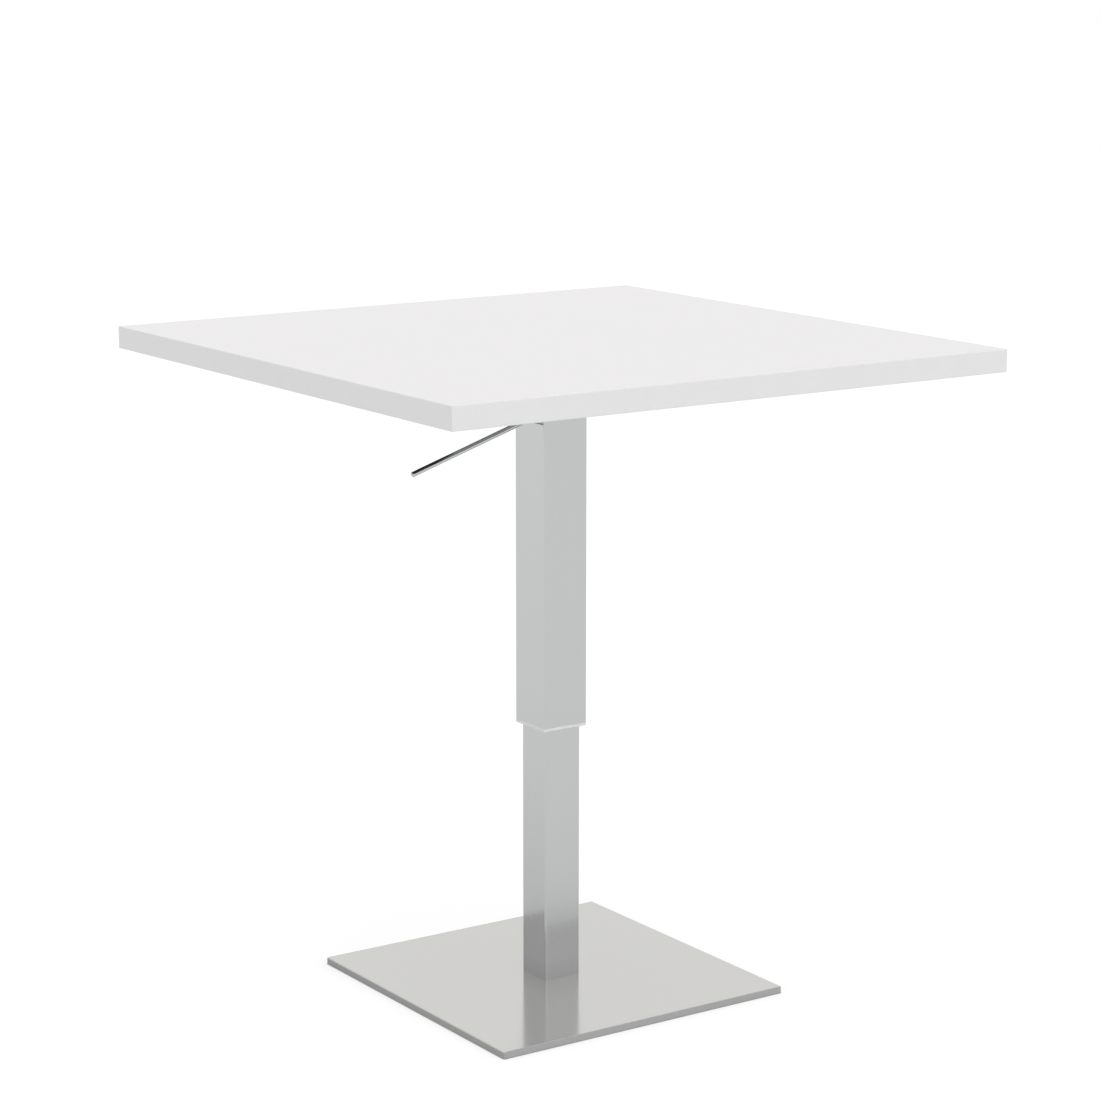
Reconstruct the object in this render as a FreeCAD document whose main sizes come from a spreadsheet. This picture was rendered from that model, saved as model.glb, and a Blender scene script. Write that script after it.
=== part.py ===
import FreeCAD, Part
import os
import Sketcher

# Telescoping pedestal table: a square top on a two-part square column.
# The outer sleeve carries the top and slides over the inner tube that stands on the base plate.
# A locking gas spring inside the column lifts the top; the bar under the top releases it.
# Millimetres, +Z up, origin on the floor in the middle of the table, which stands at full height.

# ---------------------------------------------------------------- driving dimensions

SIZES = {
    # base plate and floor pads
    "plate_side": 400,
    "plate_thickness": 8,
    "plate_corner": 2,  # radius of the upright corners
    "plate_bevel": 0.8,  # round the upper rim
    "pad_diameter": 30,
    "pad_recess": 2,  # depth of the pad's recess in the plate
    "pad_proud": 0.5,  # how far the pads stand below the plate
    "pad_inset": 30,  # pad centre from the plate's sides
    "pad_gap": 0.2,  # pad to the wall of its recess

    # inner tube
    "tube_side": 50,
    "tube_wall": 2,
    "tube_inner_corner": 0.5,
    "tube_length": 414.4,

    # foot block that holds the tube to the plate, and its four countersunk screws
    "block_height": 14,
    "block_gap": 0.1,  # to the tube's wall
    "block_corner": 1.5,
    "foot_screw_inset": 8.9,  # screw's centre from the block's sides
    "foot_screw_shank": 8,
    "foot_screw_head": 15.5,
    "foot_screw_head_height": 4,
    "foot_screw_short": 1.8,  # screw's end below the block's upper face
    "foot_screw_sink": 0.2,  # head below the plate's underside
    "foot_screw_key": 5,  # hexagon socket across flats
    "foot_screw_key_depth": 3,
    "thread_gap": 0.05,  # any thread to its hole, on the radius

    # gas spring
    "stud_diameter": 10,  # the cylinder's stud and the piston rod
    "nut_width": 17,  # across flats
    "nut_height": 8,
    "stroke": 250,
    "cylinder_dead_length": 138,  # the cylinder's length beyond the stroke
    "cylinder_diameter": 28,
    "cylinder_wall": 1.5,
    "cylinder_floor": 4,
    "cylinder_head_height": 14,  # rod guide in the cylinder's mouth
    "seal_height": 6,
    "piston_height": 12,
    "piston_stop_gap": 0.5,  # piston to the seal at full height
    "sliding_gap": 0.3,  # round sliding pieces, on the radius
    "rod_chamfer": 0.8,

    # upper guide on the tube's end, and its two screws
    "guide_skirt": 40,  # outside the tube
    "guide_plug": 14,  # inside the tube
    "guide_lip": 2,  # over the tube's end
    "guide_gap": 0.2,  # both guides to the wall they slide on
    "guide_cylinder_gap": 0.4,  # bore to the gas cylinder, on the radius
    "guide_corner": 1.2,
    "guide_screw_drop": 18,  # below the tube's end
    "guide_screw_shank": 3,
    "guide_screw_head": 5.6,
    "guide_screw_head_height": 1.6,
    "guide_screw_sink": 0.4,  # head below the guide's face
    "guide_screw_proud": 0.6,  # screw's end inside the tube

    # sleeve and the lower guide bush in its mouth
    "sleeve_clearance": 4,  # inner tube to the sleeve's wall
    "sleeve_wall": 1.5,
    "sleeve_corner": 1.4,
    "sleeve_length": 432,
    "guide_spacing": 13,  # bush to the upper guide at full height
    "bush_height": 45,  # inside the sleeve
    "bush_lip": 3.5,  # under the sleeve
    "bush_rounding": 0.5,

    # mounting plate, screws, washers and threaded inserts
    "flange_side": 240,
    "flange_thickness": 5,
    "flange_corner": 20,
    "flange_hole_inset": 20,  # from the plate's sides
    "flange_hole_gap": 0.3,  # hole to its screw, on the radius
    "top_screw_shank": 6,
    "top_screw_short": 3.6,  # screw's end below the insert's end
    "top_screw_head": 11,
    "top_screw_head_height": 3.3,
    "top_screw_head_rounding": 1.6,
    "top_screw_key": 4,  # hexagon socket across flats
    "top_screw_key_depth": 2,
    "washer_diameter": 14,
    "washer_thickness": 1.6,
    "insert_wall": 2,
    "insert_length": 14,

    # table top
    "top_side": 750,
    "top_thickness": 26.6,  # 25 of chipboard between two laminates
    "laminate": 0.8,  # upper and lower face
    "band": 2,  # edge strips
    "band_flat": 1,  # left on a strip's edge inside its rounding

    # cross plate in the sleeve, which the gas spring lifts
    "spring_plate_drop": 73,  # its top below the sleeve's end
    "spring_plate_thickness": 5,
    "spring_plate_gap": 0.1,  # to the sleeve's wall
    "spring_plate_corner": 1,

    # release head on the piston rod
    "head_end": 6,  # beyond the pivot, on the lever's side
    "head_back": 10,  # from the rod's axis to the far side
    "head_cheek": 6,
    "head_over_pivot": 7.65,
    "head_floor": 10.5,  # thickness round the rod's thread
    "head_step": 5,  # floor in front of the rod
    "head_thread_wall": 1,  # thick floor beyond the thread
    "head_rounding": 1.5,  # upright edges

    # lever: a hub on a pivot pin, and the bar pressed into it
    "hub_gap": 0.3,  # to the cheeks
    "hub_cheek": 1,  # beside the bar
    "hub_cover": 1.5,  # above and below the bar
    "hub_wall_gap": 1,  # hub to the sleeve's wall
    "nose_relief": 9,  # underside cut back from the nose's centre
    "socket_wall": 1.4,  # bar's socket to the pivot hole
    "pivot_distance": 12.57,  # from the nose's centre, along the bar
    "pivot_diameter": 4,
    "pivot_fit": 0.05,  # hub on the pivot pin, on the radius
    "pivot_overhang": 2.2,  # beyond each cheek
    "clip_width": 2,  # retaining ring round the pin
    "clip_thickness": 0.8,
    "lever_angle": 17.36,  # bar below the horizontal, degrees
    "lever_diameter": 6.35,
    "lever_length": 202.6,  # bar's tip from the nose's centre
    "lever_tip_flat": 0.6,  # radius left flat on the bar's rounded tip
    "window_gap": 0.5,  # bar to the window's sill
    "window_height": 24,

    # release pin in the hollow rod
    "pin_diameter": 3,
    "pin_proud": 5,  # above the rod's end
    "pin_gap": 0.1,  # to the lever's nose
    "pin_tip_flat": 0.7,  # radius left flat on the rounded tip
}

# ---------------------------------------------------------------- worked-out dimensions

LEVELS = {
    # holes and ways
    "stud_hole": "Sizes.stud_diameter + 2 * Sizes.thread_gap",
    "rod_way": "Sizes.stud_diameter + 2 * Sizes.sliding_gap",
    "foot_screw_hole": "Sizes.foot_screw_shank + 2 * Sizes.thread_gap",
    "foot_head_hole": "Sizes.foot_screw_head + 2 * Sizes.thread_gap",
    "guide_screw_hole": "Sizes.guide_screw_shank + 2 * Sizes.thread_gap",
    "top_screw_hole": "Sizes.top_screw_shank + 2 * Sizes.thread_gap",
    "top_screw_way": "Sizes.top_screw_shank + 2 * Sizes.flange_hole_gap",
    "pivot_hole": "Sizes.pivot_diameter + 2 * Sizes.thread_gap",

    # base plate, tube and foot
    "plate_top": "Sizes.pad_proud + Sizes.plate_thickness",
    "pad_thickness": "Sizes.pad_recess + Sizes.pad_proud",
    "pad_place": "Sizes.plate_side / 2 - Sizes.pad_inset",
    "tube_bore": "Sizes.tube_side - 2 * Sizes.tube_wall",
    "tube_corner": "Sizes.tube_wall + Sizes.tube_inner_corner",
    "tube_top": "plate_top + Sizes.tube_length",
    "block_side": "tube_bore - 2 * Sizes.block_gap",
    "block_top": "plate_top + Sizes.block_height",
    "foot_screw_place": "block_side / 2 - Sizes.foot_screw_inset",
    "foot_screw_bottom": "Sizes.pad_proud + Sizes.foot_screw_sink",
    "foot_screw_length": "block_top - Sizes.foot_screw_short - foot_screw_bottom",

    # gas cylinder
    "cylinder_bottom": "block_top + Sizes.nut_height",
    "cylinder_length": "Sizes.stroke + Sizes.cylinder_dead_length",
    "cylinder_top": "cylinder_bottom + cylinder_length",
    "cylinder_bore": "Sizes.cylinder_diameter - 2 * Sizes.cylinder_wall",
    "stud_length": "Sizes.nut_height + Sizes.block_height",
    "seal_bottom": "cylinder_top - Sizes.cylinder_head_height - Sizes.seal_height",
    "piston_bottom": "seal_bottom - Sizes.piston_stop_gap - Sizes.piston_height",
    "rod_bore": "Sizes.pin_diameter + 2 * Sizes.sliding_gap",

    # sleeve and guides
    "sleeve_bore": "Sizes.tube_side + 2 * Sizes.sleeve_clearance",
    "sleeve_side": "sleeve_bore + 2 * Sizes.sleeve_wall",
    "guide_side": "sleeve_bore - 2 * Sizes.guide_gap",
    "guide_bottom": "tube_top - Sizes.guide_skirt",
    "guide_bore": "Sizes.cylinder_diameter + 2 * Sizes.guide_cylinder_gap",
    "guide_screw_face": "guide_side / 2 - Sizes.guide_screw_sink",
    "guide_screw_length": "guide_screw_face - tube_bore / 2 + Sizes.guide_screw_proud",
    "bush_top": "guide_bottom - Sizes.guide_spacing",
    "sleeve_bottom": "bush_top - Sizes.bush_height",
    "lip_bottom": "sleeve_bottom - Sizes.bush_lip",
    "sleeve_top": "sleeve_bottom + Sizes.sleeve_length",

    # table top and its fastenings
    "top_bottom": "sleeve_top + Sizes.flange_thickness",
    "core_bottom": "top_bottom + Sizes.laminate",
    "core_thickness": "Sizes.top_thickness - 2 * Sizes.laminate",
    "core_side": "Sizes.top_side - 2 * Sizes.band",
    "band_rounding": "Sizes.band - Sizes.band_flat",
    "band_corner": "Sizes.band / 2",
    "mount_place": "Sizes.flange_side / 2 - Sizes.flange_hole_inset",
    "washer_bottom": "sleeve_top - Sizes.washer_thickness",
    "top_screw_bottom": "washer_bottom - Sizes.top_screw_head_height",
    "top_screw_end": "top_bottom + Sizes.insert_length - Sizes.top_screw_short",
    "insert_diameter": "Sizes.top_screw_shank + 2 * Sizes.insert_wall",

    # cross plate, piston rod and release pin
    "spring_plate_top": "sleeve_top - Sizes.spring_plate_drop",
    "spring_plate_bottom": "spring_plate_top - Sizes.spring_plate_thickness",
    "lock_nut_bottom": "spring_plate_bottom - Sizes.nut_height",
    "rod_top": "spring_plate_top + Sizes.head_floor",
    "rod_length": "rod_top - piston_bottom",
    "pin_bottom": "piston_bottom + Sizes.piston_height",
    "pin_top": "rod_top + Sizes.pin_proud",
    "pin_length": "pin_top - pin_bottom",
    "pin_tip": "Sizes.pin_diameter / 2 - Sizes.pin_tip_flat",

    # lever, its pivot and the release head
    "hub_width": "Sizes.lever_diameter + 2 * Sizes.hub_cheek",
    "hub_height": "Sizes.lever_diameter + 2 * Sizes.hub_cover",
    "nose_height": "pin_top + Sizes.pin_gap + hub_height / 2",
    "hub_end_lean": "hub_height / 2 * sin(Sizes.lever_angle)",
    "hub_reach": "sleeve_bore / 2 - Sizes.hub_wall_gap - hub_end_lean",
    "hub_length": "hub_reach / cos(Sizes.lever_angle)",
    "socket_end": "Sizes.pivot_distance + Sizes.pivot_diameter / 2 + Sizes.pivot_fit"
                  " + Sizes.socket_wall",
    "lever_tip": "Sizes.lever_diameter / 2 - Sizes.lever_tip_flat",
    "pivot_x": "-Sizes.pivot_distance * cos(Sizes.lever_angle)",
    "pivot_height": "nose_height - Sizes.pivot_distance * sin(Sizes.lever_angle)",
    "fork_width": "hub_width + 2 * Sizes.hub_gap",
    "head_width": "fork_width + 2 * Sizes.head_cheek",
    "head_front": "Sizes.head_end - pivot_x",
    "head_height": "pivot_height + Sizes.head_over_pivot - spring_plate_top",
    "head_floor_reach": "Sizes.stud_diameter / 2 + Sizes.head_thread_wall",
    "pivot_length": "head_width + 2 * Sizes.pivot_overhang",
    "clip_diameter": "Sizes.pivot_diameter + 2 * Sizes.clip_width",

    # window in the sleeve for the bar
    "bar_drop": "sleeve_side / 2 * tan(Sizes.lever_angle)",
    "bar_half_height": "Sizes.lever_diameter / 2 / cos(Sizes.lever_angle)",
    "window_sill": "nose_height - bar_drop - bar_half_height - Sizes.window_gap",
}


def fill_sheet(sheet, entries, mark=""):
    """Write one named cell for each entry."""
    for row, (alias, content) in enumerate(entries.items(), 1):
        sheet.set(f"A{row}", alias)
        sheet.set(f"B{row}", f"{mark}{content}")
        sheet.setAlias(f"B{row}", alias)


doc = FreeCAD.newDocument("PedestalTable")
sizes = doc.addObject("Spreadsheet::Sheet", "Sizes")
levels = doc.addObject("Spreadsheet::Sheet", "Levels")
fill_sheet(sizes, SIZES)
fill_sheet(levels, LEVELS, "=")
doc.recompute()

# ---------------------------------------------------------------- small tools

ZERO = 1e-6  # lengths under this are none
NEAR = 0.01  # how far from its place an edge to dress may lie
NEARLY_STRAIGHT = 0.99  # least upright share of an upright edge
OVERSHOOT = 2  # open ends of a cut lie this many sizes out
QUARTERS = ((1, 1), (-1, 1), (-1, -1), (1, -1))
UP = FreeCAD.Vector(0, 0, 1)
node_objects = []


def value(formula):
    """The present number of an expression."""
    answer = sizes.evalExpression(formula)
    return float(answer.Value) if hasattr(answer, "Value") else float(answer)


def name_node(item, label):
    """Mark an object as one finished piece, which gets a file of its own."""
    item.Label = label
    node_objects.append(item)
    return item


def new_body(name, height="0"):
    """A body whose own origin lies on the column's axis at the given height."""
    body = doc.addObject("PartDesign::Body", "Body_" + name)
    body.setExpression("Placement.Base.z", height)
    return name_node(body, name)


def new_sketch(body, name, plane="XY_Plane", lift="0"):
    """A sketch on one of the body's own planes, lifted along that plane's normal."""
    sketch = body.newObject("Sketcher::SketchObject", body.Label + "_" + name)
    support = [part for part in body.Origin.OriginFeatures if part.Role == plane][0]
    sketch.AttachmentSupport = [(support, "")]
    sketch.MapMode = "FlatFace"
    sketch.setExpression("AttachmentOffset.Base.z", lift)
    return sketch


def pin_point(sketch, line, end, across, along):
    """Fix one end of a line at a place given by two expressions."""
    for kind, axis, formula in (("DistanceX", -2, across), ("DistanceY", -1, along)):
        if abs(value(formula)) < ZERO:
            sketch.addConstraint(Sketcher.Constraint("PointOnObject", line, end, axis))
            continue
        rule = Sketcher.Constraint(kind, -1, 1, line, end, value(formula))
        number = sketch.addConstraint(rule)
        sketch.setExpression(f"Constraints[{number}]", formula)


def draw_polygon(sketch, corners):
    """A closed outline through corners given as pairs of expressions."""
    points = [FreeCAD.Vector(value(across), value(along), 0) for across, along in corners]
    lines = []
    for start, end in zip(points, points[1:] + points[:1]):
        lines.append(sketch.addGeometry(Part.LineSegment(start, end)))
    for line, following in zip(lines, lines[1:] + lines[:1]):
        sketch.addConstraint(Sketcher.Constraint("Coincident", line, 2, following, 1))
    for line, (across, along) in zip(lines, corners):
        pin_point(sketch, line, 1, across, along)


def draw_box(sketch, low_x, high_x, low_y, high_y):
    """A rectangle between two pairs of expressions."""
    draw_polygon(sketch, [(low_x, low_y), (high_x, low_y), (high_x, high_y), (low_x, high_y)])


def draw_square(sketch, side):
    """A square of the given side about the origin."""
    half = f"({side}) / 2"
    draw_box(sketch, f"-{half}", half, f"-{half}", half)


def draw_circle(sketch, diameter, across="0", along="0"):
    """A circle about a place given by two expressions."""
    centre = FreeCAD.Vector(value(across), value(along), 0)
    circle = sketch.addGeometry(Part.Circle(centre, UP, value(diameter) / 2))
    pin_point(sketch, circle, 3, across, along)
    number = sketch.addConstraint(Sketcher.Constraint("Diameter", circle, value(diameter)))
    sketch.setExpression(f"Constraints[{number}]", diameter)


def pad(sketch, length, both_ways=False):
    """Material raised from a sketch."""
    feature = sketch.getParentGeoFeatureGroup().newObject("PartDesign::Pad", sketch.Name + "_pad")
    feature.Profile = sketch
    feature.setExpression("Length", length)
    feature.Midplane = both_ways
    sketch.Visibility = False
    doc.recompute()
    return feature


def pocket(sketch, length=None, upwards=False, both_ways=False):
    """Material cut away under a sketch, or right through when no depth is given."""
    body = sketch.getParentGeoFeatureGroup()
    before = body.Shape.Volume
    feature = body.newObject("PartDesign::Pocket", sketch.Name + "_pocket")
    feature.Profile = sketch
    feature.Reversed = upwards
    feature.Midplane = both_ways
    if length is None:
        feature.Type = "ThroughAll"
    else:
        feature.setExpression("Length", length)
    sketch.Visibility = False
    doc.recompute()
    if not body.Shape.Volume < before:
        raise RuntimeError(f"{feature.Name} cuts nothing")
    return feature


def turn(sketch):
    """A solid of revolution about the column's axis."""
    body = sketch.getParentGeoFeatureGroup()
    feature = body.newObject("PartDesign::Revolution", sketch.Name + "_turned")
    feature.Profile = sketch
    feature.ReferenceAxis = (sketch, ["V_Axis"])
    feature.Angle = 360
    sketch.Visibility = False
    doc.recompute()
    return feature


def edges_where(body, test):
    """Names of the body's edges whose middle and direction pass a test."""
    chosen = []
    for number, edge in enumerate(body.Shape.Edges, 1):
        first, last = edge.ParameterRange
        middle = body.Placement.inverse().multVec(edge.valueAt((first + last) / 2))
        ends = [body.Placement.inverse().multVec(vertex.Point) for vertex in edge.Vertexes]
        along = (ends[-1] - ends[0]).normalize() if ends[-1] != ends[0] else FreeCAD.Vector()
        if test(middle, along):
            chosen.append(f"Edge{number}")
    return chosen


def dress(body, kind, amount, test):
    """Round (Fillet) or bevel (Chamfer) the edges that pass a test."""
    chosen = edges_where(body, test)
    if not chosen:
        raise RuntimeError(f"no edge to dress on {body.Label}")
    base = body.Tip
    feature = body.newObject("PartDesign::" + kind, body.Label + "_" + kind)
    feature.Base = (base, chosen)
    feature.setExpression("Radius" if kind == "Fillet" else "Size", amount)
    doc.recompute()
    return feature


def upright_at(reach):
    """Test for the upright edges at the corners of a square."""
    def test(middle, along):
        corner = abs(abs(middle.x) - reach) < NEAR and abs(abs(middle.y) - reach) < NEAR
        return corner and abs(along.z) > NEARLY_STRAIGHT
    return test


def at_height(height, reach):
    """Test for edges on the outer rim at one height."""
    def test(middle, along):
        return abs(middle.z - height) < NEAR and max(abs(middle.x), abs(middle.y)) > reach - NEAR
    return test


def place(item, across="0", along="0", height="0"):
    """Bind an object's place to three expressions."""
    item.setExpression("Placement.Base.x", across)
    item.setExpression("Placement.Base.y", along)
    item.setExpression("Placement.Base.z", height)
    return item


def cylinder(name, diameter, height_of, across="0", along="0", base="0"):
    """An upright round bar."""
    item = doc.addObject("Part::Cylinder", name)
    item.setExpression("Radius", f"({diameter}) / 2")
    item.setExpression("Height", height_of)
    return place(item, across, along, base)


def cone(name, low_diameter, high_diameter, height_of, across="0", along="0", base="0"):
    """An upright cone."""
    item = doc.addObject("Part::Cone", name)
    item.setExpression("Radius1", f"({low_diameter}) / 2")
    item.setExpression("Radius2", f"({high_diameter}) / 2")
    item.setExpression("Height", height_of)
    return place(item, across, along, base)


def hexagon(name, across_flats, height_of, across="0", along="0", base="0"):
    """An upright hexagonal bar."""
    item = doc.addObject("Part::Prism", name)
    item.Polygon = 6
    item.setExpression("Circumradius", f"({across_flats}) / 2 / cos(30)")
    item.setExpression("Height", height_of)
    return place(item, across, along, base)


def combine(kind, name, first, second):
    """A Part::Cut, Part::Fuse or Part::Common of two objects."""
    item = doc.addObject("Part::" + kind, name)
    item.Base = first
    item.Tool = second
    return item


def group(label, members):
    """Identical pieces kept together as separate solids of one node."""
    item = doc.addObject("Part::Compound", "Group_" + label)
    item.Links = members
    return name_node(item, label)


def quarter_places(reach):
    """Four places at the same distance from both middle lines."""
    places = []
    for side_x, side_y in QUARTERS:
        across = reach if side_x > 0 else f"-({reach})"
        along = reach if side_y > 0 else f"-({reach})"
        places.append((across, along))
    return places


# ---------------------------------------------------------------- base plate and pads

base_plate = new_body("base_plate", "Sizes.pad_proud")
outline = new_sketch(base_plate, "outline")
draw_square(outline, "Sizes.plate_side")
pad(outline, "Sizes.plate_thickness")
dress(base_plate, "Fillet", "Sizes.plate_corner", upright_at(value("Sizes.plate_side / 2")))
straight_reach = value("Sizes.plate_side / 2 - Sizes.plate_corner")
dress(base_plate, "Chamfer", "Sizes.plate_bevel",
      at_height(value("Sizes.plate_thickness"), straight_reach))
recesses = new_sketch(base_plate, "pad_recesses")
for across, along in quarter_places("Levels.pad_place"):
    draw_circle(recesses, "Sizes.pad_diameter + 2 * Sizes.pad_gap", across, along)
pocket(recesses, "Sizes.pad_recess", upwards=True)
screw_holes = new_sketch(base_plate, "screw_holes")
for across, along in quarter_places("Levels.foot_screw_place"):
    draw_circle(screw_holes, "Levels.foot_screw_hole", across, along)
pocket(screw_holes, upwards=True)
for number, (across, along) in enumerate(quarter_places("Levels.foot_screw_place")):
    sink = base_plate.newObject("PartDesign::SubtractiveCone", f"base_plate_countersink_{number}")
    sink.setExpression("Radius1", "Levels.foot_head_hole / 2")
    sink.setExpression("Radius2", "Levels.foot_screw_hole / 2")
    sink.setExpression("Height", "Sizes.foot_screw_head_height")
    place(sink, across, along, "Sizes.foot_screw_sink")
    doc.recompute()
mouths = new_sketch(base_plate, "countersink_mouths")
for across, along in quarter_places("Levels.foot_screw_place"):
    draw_circle(mouths, "Levels.foot_head_hole", across, along)
pocket(mouths, "Sizes.foot_screw_sink", upwards=True)

pads = []
for number, (across, along) in enumerate(quarter_places("Levels.pad_place")):
    pads.append(cylinder(f"pad_{number}", "Sizes.pad_diameter", "Levels.pad_thickness",
                         across, along))
group("base_pads", pads)

# ---------------------------------------------------------------- inner tube and its foot

inner_tube = new_body("inner_tube", "Levels.plate_top")
outline = new_sketch(inner_tube, "outline")
draw_square(outline, "Sizes.tube_side")
pad(outline, "Sizes.tube_length")
bore = new_sketch(inner_tube, "bore")
draw_square(bore, "Levels.tube_bore")
pocket(bore, upwards=True)
dress(inner_tube, "Fillet", "Levels.tube_corner", upright_at(value("Sizes.tube_side / 2")))
dress(inner_tube, "Fillet", "Sizes.tube_inner_corner", upright_at(value("Levels.tube_bore / 2")))
guide_holes = new_sketch(inner_tube, "guide_screw_holes", "XZ_Plane")
draw_circle(guide_holes, "Levels.guide_screw_hole",
            along="Sizes.tube_length - Sizes.guide_screw_drop")
pocket(guide_holes, both_ways=True)

foot_block = new_body("foot_block", "Levels.plate_top")
outline = new_sketch(foot_block, "outline")
draw_square(outline, "Levels.block_side")
pad(outline, "Sizes.block_height")
dress(foot_block, "Fillet", "Sizes.block_corner", upright_at(value("Levels.block_side / 2")))
tapped_holes = new_sketch(foot_block, "tapped_holes")
for across, along in quarter_places("Levels.foot_screw_place"):
    draw_circle(tapped_holes, "Levels.foot_screw_hole", across, along)
draw_circle(tapped_holes, "Levels.stud_hole")
pocket(tapped_holes, upwards=True)

foot_screws = []
for number, (across, along) in enumerate(quarter_places("Levels.foot_screw_place")):
    low = "Levels.foot_screw_bottom"
    shank = cylinder(f"foot_shank_{number}", "Sizes.foot_screw_shank", "Levels.foot_screw_length",
                     across, along, low)
    head = cone(f"foot_head_{number}", "Sizes.foot_screw_head", "Sizes.foot_screw_shank",
                "Sizes.foot_screw_head_height", across, along, low)
    key = hexagon(f"foot_key_{number}", "Sizes.foot_screw_key", "Sizes.foot_screw_key_depth",
                  across, along, low)
    solid = combine("Fuse", f"foot_blank_{number}", shank, head)
    foot_screws.append(combine("Cut", f"foot_screw_{number}", solid, key))
group("foot_screws", foot_screws)

# ---------------------------------------------------------------- gas spring, fixed half

nut_blank = hexagon("cylinder_nut_blank", "Sizes.nut_width", "Sizes.nut_height",
                    base="Levels.block_top")
nut_bore = cylinder("cylinder_nut_bore", "Levels.stud_hole", "Sizes.nut_height",
                    base="Levels.block_top")
name_node(combine("Cut", "Cut_cylinder_nut", nut_blank, nut_bore), "cylinder_nut")

gas_cylinder = new_body("gas_cylinder", "Levels.cylinder_bottom")
profile = new_sketch(gas_cylinder, "profile", "XZ_Plane")
draw_polygon(profile, [
    ("0", "-Levels.stud_length"),
    ("Sizes.stud_diameter / 2", "-Levels.stud_length"),
    ("Sizes.stud_diameter / 2", "0"),
    ("Sizes.cylinder_diameter / 2", "0"),
    ("Sizes.cylinder_diameter / 2", "Levels.cylinder_length"),
    ("Levels.cylinder_bore / 2", "Levels.cylinder_length"),
    ("Levels.cylinder_bore / 2", "Sizes.cylinder_floor"),
    ("0", "Sizes.cylinder_floor"),
])
turn(profile)


def ring_body(name, outer, inner, height_of, base):
    """A plain ring about the column's axis."""
    body = new_body(name, base)
    face = new_sketch(body, "face")
    draw_circle(face, outer)
    draw_circle(face, inner)
    pad(face, height_of)
    return body


ring_body("cylinder_head", "Levels.cylinder_bore", "Levels.rod_way",
          "Sizes.cylinder_head_height", "Levels.cylinder_top - Sizes.cylinder_head_height")
ring_body("rod_seal", "Levels.cylinder_bore", "Levels.rod_way", "Sizes.seal_height",
          "Levels.seal_bottom")

# ---------------------------------------------------------------- upper guide

upper_guide = new_body("upper_guide", "Levels.guide_bottom")
outline = new_sketch(upper_guide, "outline")
draw_square(outline, "Levels.guide_side")
pad(outline, "Sizes.guide_skirt + Sizes.guide_lip")
skirt = new_sketch(upper_guide, "skirt")
draw_square(skirt, "Sizes.tube_side")
pocket(skirt, "Sizes.guide_skirt", upwards=True)
dress(upper_guide, "Fillet", "Levels.tube_corner", upright_at(value("Sizes.tube_side / 2")))
dress(upper_guide, "Fillet", "Sizes.guide_corner", upright_at(value("Levels.guide_side / 2")))
plug = new_sketch(upper_guide, "plug", lift="Sizes.guide_skirt - Sizes.guide_plug")
draw_square(plug, "Levels.block_side")
pad(plug, "Sizes.guide_plug + Sizes.guide_lip")
dress(upper_guide, "Fillet", "Sizes.block_corner", upright_at(value("Levels.block_side / 2")))
guide_bore = new_sketch(upper_guide, "bore")
draw_circle(guide_bore, "Levels.guide_bore")
pocket(guide_bore, upwards=True)
guide_screw_height = "Sizes.guide_skirt - Sizes.guide_screw_drop"
guide_holes = new_sketch(upper_guide, "screw_holes", "XZ_Plane")
draw_circle(guide_holes, "Levels.guide_screw_hole", along=guide_screw_height)
pocket(guide_holes, both_ways=True)


def facing(item, side):
    """Lay an upright shape over so that its base looks along Y, to the given side."""
    item.Placement.Rotation = FreeCAD.Rotation(FreeCAD.Vector(1, 0, 0), 90 * side)
    return item


for number, side in enumerate((1, -1)):
    sink = upper_guide.newObject("PartDesign::SubtractiveCone", f"upper_guide_countersink_{number}")
    sink.setExpression("Radius1", "Sizes.guide_screw_head / 2 + Sizes.thread_gap"
                       " + Sizes.guide_screw_sink")
    sink.setExpression("Radius2", "Levels.guide_screw_hole / 2")
    sink.setExpression("Height", "Sizes.guide_screw_head_height + Sizes.guide_screw_sink")
    facing(sink, side)
    place(sink, "0", f"{side} * Levels.guide_side / 2", guide_screw_height)
    doc.recompute()

guide_screws = []
for number, side in enumerate((1, -1)):
    along = f"{side} * Levels.guide_screw_face"
    height = "Levels.guide_bottom + " + guide_screw_height
    shank = facing(cylinder(f"guide_shank_{number}", "Sizes.guide_screw_shank",
                            "Levels.guide_screw_length", "0", along, height), side)
    head = facing(cone(f"guide_head_{number}", "Sizes.guide_screw_head",
                       "Sizes.guide_screw_shank", "Sizes.guide_screw_head_height",
                       "0", along, height), side)
    guide_screws.append(combine("Fuse", f"guide_screw_{number}", shank, head))
group("guide_screws", guide_screws)

# ---------------------------------------------------------------- sleeve and lower bush

outer_sleeve = new_body("outer_sleeve", "Levels.sleeve_bottom")
outline = new_sketch(outer_sleeve, "outline")
draw_square(outline, "Levels.sleeve_side")
pad(outline, "Sizes.sleeve_length")
bore = new_sketch(outer_sleeve, "bore")
draw_square(bore, "Levels.sleeve_bore")
pocket(bore, upwards=True)
dress(outer_sleeve, "Fillet", "Sizes.sleeve_corner", upright_at(value("Levels.sleeve_side / 2")))
window = new_sketch(outer_sleeve, "window", "YZ_Plane")
draw_box(window, "-Levels.sleeve_bore / 2", "Levels.sleeve_bore / 2",
         "Levels.window_sill - Levels.sleeve_bottom",
         "Levels.window_sill - Levels.sleeve_bottom + Sizes.window_height")
pocket(window, "Levels.sleeve_side")

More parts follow.
